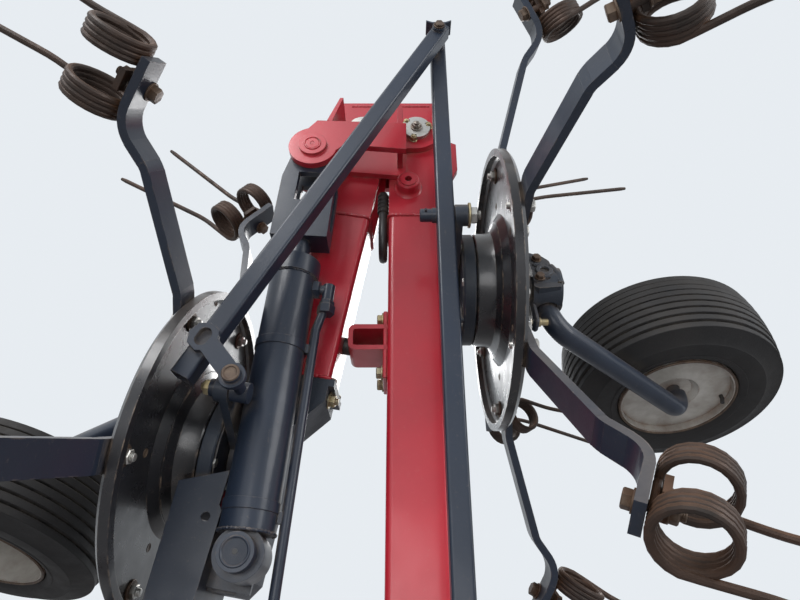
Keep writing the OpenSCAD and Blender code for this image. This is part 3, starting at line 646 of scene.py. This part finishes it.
def wheel_parts(name):
    """Rusty rings of the rim, its valve, and the nut of its axle."""
    at = COLUMN[name] @ move(WHEEL_N, WHEEL_TRAIL, WHEEL_OFF)
    ring, valve, nut = Shape(), Shape(), Shape()
    ring.lathe([(37.2, -43), (48.2, -57), (47.2, -57.8), (36.4, -43.8)], at, closed=True)
    for side in (-1, 1):
        flange = [(108.2, 76.4), (109.2, 78.6), (111.6, 79.4), (113.4, 77.4), (112.4, 75)]
        ring.lathe([(r, z * side) for r, z in flange], at, 96, closed=True)
    valve.tube(rounded([(94, 6, -60), (94, 6, -70), (90, 6, -80)], 6), 4, at)
    nut.hex_bolt(at @ move(0, 0, 40.8), 34, 3.6)
    nut.lathe([(12.6, 40.2), (21, 40.2), (21, 42), (12.6, 42)], at, 36, closed=True)
    ring.piece(name + "_rim_rings", "wheel_" + name, RUSTY)
    valve.piece(name + "_valve", "wheel_" + name, RUBBER)
    nut.piece(name + "_axle_nut", "column_" + name, ZINC)


for rotor in ("inner", "outer"):
    drum(rotor)
    housing_cover(rotor)
    column_casting(rotor)
    wheel_parts(rotor)


# ---------- knuckle ----------
def notched(radius, notches, depth, half_width):
    """Outline of a round plate with notches at some angles."""
    points = []
    for a in range(0, 360, 3):
        cut = any(abs((a - b + 180) % 360 - 180) < half_width for b in notches)
        points.append(polar(radius - depth if cut else radius, a))
    return points


def pin_plates():
    """Plates on the ends of the knuckle's pins, each with a bolt and three locks."""
    plates, bolts, locks = Shape(), Shape(), Shape()
    top = 9.5
    for x, start in ((PIN_X, 18), (PIN_X - PIN_GAP, 62)):
        for side in (1, -1):
            at = move(x, side * CHEEK_OUT, PIN_Z) @ turn(-90 * side, "X")
            places = [start + 120 * i for i in range(3)]
            plates.prism(notched(26.5, places, 7, 15), 6.02, top, at)
            bolts.hex_bolt(at @ move(0, 0, top), 15, 6, 22, thread=3)
            for a in places:
                locks.hex_bolt(at @ turn(a, "Z") @ move(25, 0, 0), 11, 6.5, 15, thread=3)
    plates.piece("pin_plates", "knuckle", ZINC)
    bolts.piece("pin_plate_bolts", "knuckle", STEEL)
    locks.piece("pin_plate_locks", "knuckle", YELLOW_ZINC)


def boom_ring(z):
    """Path of a weld all round a boom, 1 mm off its walls."""
    w, d = BOOM_W / 2 + 1, BOOM_D / 2 + 1
    return rounded([(0, -d, z), (w, -d, z), (w, d, z), (-w, d, z), (-w, -d, z), (0, -d, z)], 10)


def knuckle_trim():
    """End of the lug's pin, boss on the inner head, and the welds of booms and knuckle."""
    pin, inner, outer, bead = Shape(), Shape(), Shape(), Shape()
    pin.lathe(
        [(0, 0.2), (3, 0.2), (4, 1), (11, 1), (12, 0.3), (12.6, 0.3), (13.2, 1.4), (14.4, 1.4),
         (15, 0.1), (15, -0.3), (0, -0.3)],
        move(LUG[0], -LOBE_FRONT, LUG[1]) @ turn(90, "X"), 40,
    )
    pin.piece("lug_pin_end", "knuckle", RED)
    inner.lathe(
        [(15.1, 24), (17.5, 24), (20, 21.5), (20, 5), (22, 2), (26, -0.2), (15.1, -0.2)],
        move(HEAD_BOSS[0], -BOOM_D / 2, TUBE_TOP + HEAD_BOSS[1]) @ turn(90, "X"), 40, closed=True,
    )
    for z in (TUBE_TOP, FOOT_Z + PLATE_T):
        inner.weld(boom_ring(z))
    inner.piece("inner_boom_welds", "inner_boom", RED)
    for z in (PIN_Z - TUBE_TOP, OUTER_END - 1):
        outer.weld(boom_ring(z), OUTER)
    outer.piece("outer_boom_welds", "outer_boom", RED)
    z = PIN_Z + 65
    for y in (-CHEEK_OUT + 0.5, CHEEK_OUT - 0.5):
        bead.weld([(PIN_X - PIN_GAP - 24, y, z), (PIN_X + 26, y, z)], radius=2.2)
    bead.piece("knuckle_welds", "knuckle", RED)


def stop_plate():
    """Plate under the stop bracket, bolted to the inner boom."""
    plate, bolts = Shape(), Shape()
    wall = -BOOM_W / 2
    face = wall - 7
    plate.block((face, wall - 0.2), (-36, 36), (STOP_Z - 71, STOP_Z + 47), 1.5)
    for y in (-24, 24):
        for z in (STOP_Z - 58, STOP_Z + 36):
            bolts.hex_bolt(move(face, y, z) @ turn(-90, "Y"), 17, 8, 24)
    plate.piece("stop_mount_plate", "inner_boom", RED)
    bolts.piece("stop_mount_bolts", "inner_boom", YELLOW_ZINC)


def hose():
    """Hose in a hanging loop between the booms, in its two ribbed sleeves."""
    x = -BOOM_W / 2 - SEAT - (HOSE_D + 6) / 2
    path = [(x, -LOOP_R, LOOP_HIGH - (LOOP_HIGH - LOOP_LOW) * i / 8) for i in range(8)]
    path += [
        (x, -LOOP_R * math.cos(math.pi * i / 16), LOOP_LOW - LOOP_R * math.sin(math.pi * i / 16))
        for i in range(17)
    ]
    path += [(x, LOOP_R, LOOP_LOW + (LOOP_HIGH - LOOP_LOW) * i / 8) for i in range(1, 9)]
    shape, sleeves = Shape(), Shape()
    shape.tube(path, HOSE_D / 2, n=20)
    piece = shape.piece("hanging_hose", "inner_boom", HOSE, 50)
    bore, bead, low = HOSE_D / 2, HOSE_D / 2 + 3, LOOP_HIGH - 46
    ribs, pitch = 5, 9
    for y in (-LOOP_R, LOOP_R):
        profile = [(bore, low)]
        for i in range(ribs):
            z = low + pitch * i
            profile += [(bore + 1.2, z), (bead, z + 1.2), (bead, z + 3.8), (bore + 1.2, z + 5)]
        profile.append((bore, z + 5))
        sleeves.lathe(profile, move(x, y, 0), 28, closed=True)
    sleeve = sleeves.piece("hose_sleeves", "inner_boom", RUBBER)
    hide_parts("hose_loop")


pin_plates()
knuckle_trim()
stop_plate()
hose()


# ---------- links and cylinder ----------
def link_hardware():
    """Pins, washers and nuts at the eyes of the two wheel links."""
    pin, washer, nut = Shape(), Shape(), Shape()
    face = LEVER_N0 + LEVER_T + EYE_RISE
    eye_y = -LEVER_LEN * math.cos(math.radians(SWIVEL))
    eye_up = LEVER_LEN * math.sin(math.radians(SWIVEL))
    at = ROTOR["inner"] @ move(0, eye_y, eye_up) @ turn(90, "Y")
    left = JOINT_X - LINK_W / 2
    tip = left - SPIGOT
    pin.lathe([(0, tip), (9, tip), (10.5, tip + 1.5), (10.5, left - 1), (12.5, left - 1),
               (12.5, left + 0.2), (0, left + 0.2)], at, 36)
    pin.tube([(0, -16, tip + 9), (0, 14, tip + 9)], 2, at, 10)
    washer.lathe([(8.2, face + 0.6), (19.4, face + 0.6), (20, face + 1.2), (20, face + 3.6),
                  (19.4, face + 4.2), (8.2, face + 4.2)], at, 40, closed=True)
    nut.hex_bolt(at @ move(0, 0, face + 4.2), 24, 11, thread=6)
    pin.piece("inner_lever_pin", "link_inner", GREY)
    washer.piece("inner_lever_washer", "link_inner", YELLOW_ZINC)
    nut.piece("inner_lever_nut", "link_inner", ZINC)

    joint, ring, top = Shape(), Shape(), Shape()
    at = ROTOR["outer"] @ move(0, eye_y, -eye_up)
    joint.hex_bolt(at @ move(face + PIN_RISE, 0, 0) @ turn(90, "Y"), 19, 9, thread=4)
    joint.piece("outer_joint_nut", "link_joint", YELLOW_ZINC)
    front = -LINK_Y - LINK_W / 2
    ring.lathe(
        [(0, 0.1), (7.5, 0.1), (8.5, 1.4), (10.5, 1.4), (11.6, 0.2), (11.6, -0.4), (0, -0.4)],
        at @ move(JOINT_X, front - 15 - eye_y, 0) @ turn(90, "X"), 40,
    )
    ring.piece("outer_joint_ring", "link_joint", RUSTY)
    top.hex_bolt(move(JOINT_X, front - 6, JOINT_Z) @ turn(90, "X"), 15, 4, 20)
    top.piece("link_top_bolt", "link_outer", RUSTY)


def cylinder_trim():
    """Bands, welds and nuts of the barrel, cap of its base pin, bolts of the carrier."""
    bands, nuts, cap, hole_shade, bolts = Shape(), Shape(), Shape(), Shape(), Shape()
    r, pipe, top = BARREL_D / 2, BARREL_D / 2 + PIPE_OUT, BARREL_LEN - GLAND
    for z in (58, top - 103):
        bands.lathe([(r + 0.05, z - 7), (r + 1.6, z - 6.6), (r + 1.6, z + 6.6), (r + 0.05, z + 7)],
                    CYLINDER, 60, closed=True)
    for z, radius, angles in ((27, 2, (140, 401)), (BARREL_LEN - 31, 1.8, (0, 361))):
        bands.weld([(*polar(r, a), z) for a in range(*angles, 6)], CYLINDER, radius)
    nuts.hex_bolt(CYLINDER @ move(pipe, 0, top - 42), 24, 15)
    nuts.hex_bolt(CYLINDER @ move(pipe, 0, top - 27), 20, 8)
    nuts.hex_bolt(CYLINDER @ move(r - 2, 0, top) @ turn(90, "Y"), 27, 11)
    base = OUTER @ move(0, -CYL_Y - PIN_CAP, BASE_ALONG) @ turn(90, "X")
    cap.lathe([(4, 0), (15, 0), (16.5, 1.4), (17.5, 1.4), (18.5, 0), (18.5, -0.4), (4, -0.4)],
              base, 40, closed=True)
    # Flat black disc in the middle of the cap: painted shade of the pin's grease hole, not a real
    # hole
    hole_shade.lathe([(0, -0.3), (0, 0.4), (3.4, 0.4), (3.4, -0.3)], base, 20)
    bands.piece("cylinder_bands", "barrel", GREY)
    nuts.piece("cylinder_nuts", "barrel", GREY)
    cap.piece("base_pin_cap", "outer_boom", GREY)
    hole_shade.piece("base_pin_hole_shade", "outer_boom", RUBBER)
    wall = -BOOM_W / 2
    at = OUTER @ move(wall, -20, OUTER_END + 24) @ turn(-90, "Y")
    bolts.hex_bolt(at, 17, 9, 26, thread=4)
    for y in (-34, 34):
        bolts.hex_bolt(OUTER @ move(wall - 1, y, OUTER_END) @ turn(180, "X"), 13, 6)
    bolts.piece("carrier_bolts", "outer_boom", YELLOW_ZINC)


link_hardware()
cylinder_trim()


# ---------- studio ----------
def stage_plane(name, size, z, colour):
    """Floor that is lit by the lamps, and a little brighter to the camera."""
    mesh = bpy.data.meshes.new(name)
    s = size / 2
    mesh.from_pydata([(-s, -s, z), (s, -s, z), (s, s, z), (-s, s, z)], [], [(0, 1, 2, 3)])
    obj = bpy.data.objects.new(name, mesh)
    m = Nodes(name)
    tone = m.mix(m.ramp(m.noise(2, 3), 0.3, 0.7), colour, tuple(c * 0.97 for c in colour))
    seen = m.node("LightPath").outputs["Is Camera Ray"]
    m.set(Base_Color=tone, Roughness=0.8, Emission_Color=tone,
          Emission_Strength=m.math("MULTIPLY", seen, GLOW))
    mesh.materials.append(m.material)
    bpy.context.scene.collection.objects.link(obj)


def area(name, place, target, size, power):
    """Round lamp that looks at a target."""
    light = bpy.data.lights.new(name, "AREA")
    light.shape, light.size, light.energy = "DISK", size, power
    obj = bpy.data.objects.new(name, light)
    obj.location = place
    obj.rotation_euler = (Vector(target) - Vector(place)).to_track_quat("-Z", "Y").to_euler()
    bpy.context.scene.collection.objects.link(obj)


FLOOR_Z = cad_box[0].z - FLOOR_GAP
stage_plane("floor", 14, FLOOR_Z, (0.36, 0.36, 0.37))
MIDDLE = (-0.1, 0, 0.65)
area("key", (-1.6, -2.2, 3.0), MIDDLE, 1.8, 95)
area("side", (2.6, -1.6, 1.4), MIDDLE, 2.0, 55)
area("back", (0.4, 3.0, 2.4), MIDDLE, 2.0, 70)
area("low", (-0.4, -2.4, 0.1), MIDDLE, 1.6, 22)

# The world is a soft light for the part, and a bright sky to the camera and in reflections
world = bpy.data.worlds.new("studio")
bpy.context.scene.world = world
world.use_nodes = True
tree = world.node_tree
tree.nodes.clear()


def greater(a, b):
    n = tree.nodes.new("ShaderNodeMath")
    n.operation = "MAXIMUM"
    tree.links.new(a, n.inputs[0])
    tree.links.new(b, n.inputs[1])
    return n.outputs[0]


def background(colour, strength):
    n = tree.nodes.new("ShaderNodeBackground")
    n.inputs["Color"].default_value = (*colour, 1)
    n.inputs["Strength"].default_value = strength
    return n.outputs[0]


rays = tree.nodes.new("ShaderNodeLightPath").outputs
mirrored = greater(rays["Is Glossy Ray"], rays["Is Transmission Ray"])
direct = greater(rays["Is Camera Ray"], mirrored)
both = tree.nodes.new("ShaderNodeMixShader")
tree.links.new(direct, both.inputs[0])
tree.links.new(background((1, 1, 1), 0.35), both.inputs[1])
tree.links.new(background((0.8, 0.84, 0.88), 1.0), both.inputs[2])
tree.links.new(both.outputs[0], tree.nodes.new("ShaderNodeOutputWorld").inputs[0])

camera = bpy.data.objects.new("camera", bpy.data.cameras.new("camera"))
camera.data.lens, camera.data.sensor_width = 27, 36
camera.location = (-0.025, -0.898, 0.162)
camera.rotation_euler = (math.radians(120), 0, 0)
bpy.context.scene.collection.objects.link(camera)
bpy.context.scene.camera = camera
bpy.context.scene.view_settings.view_transform = "Standard"
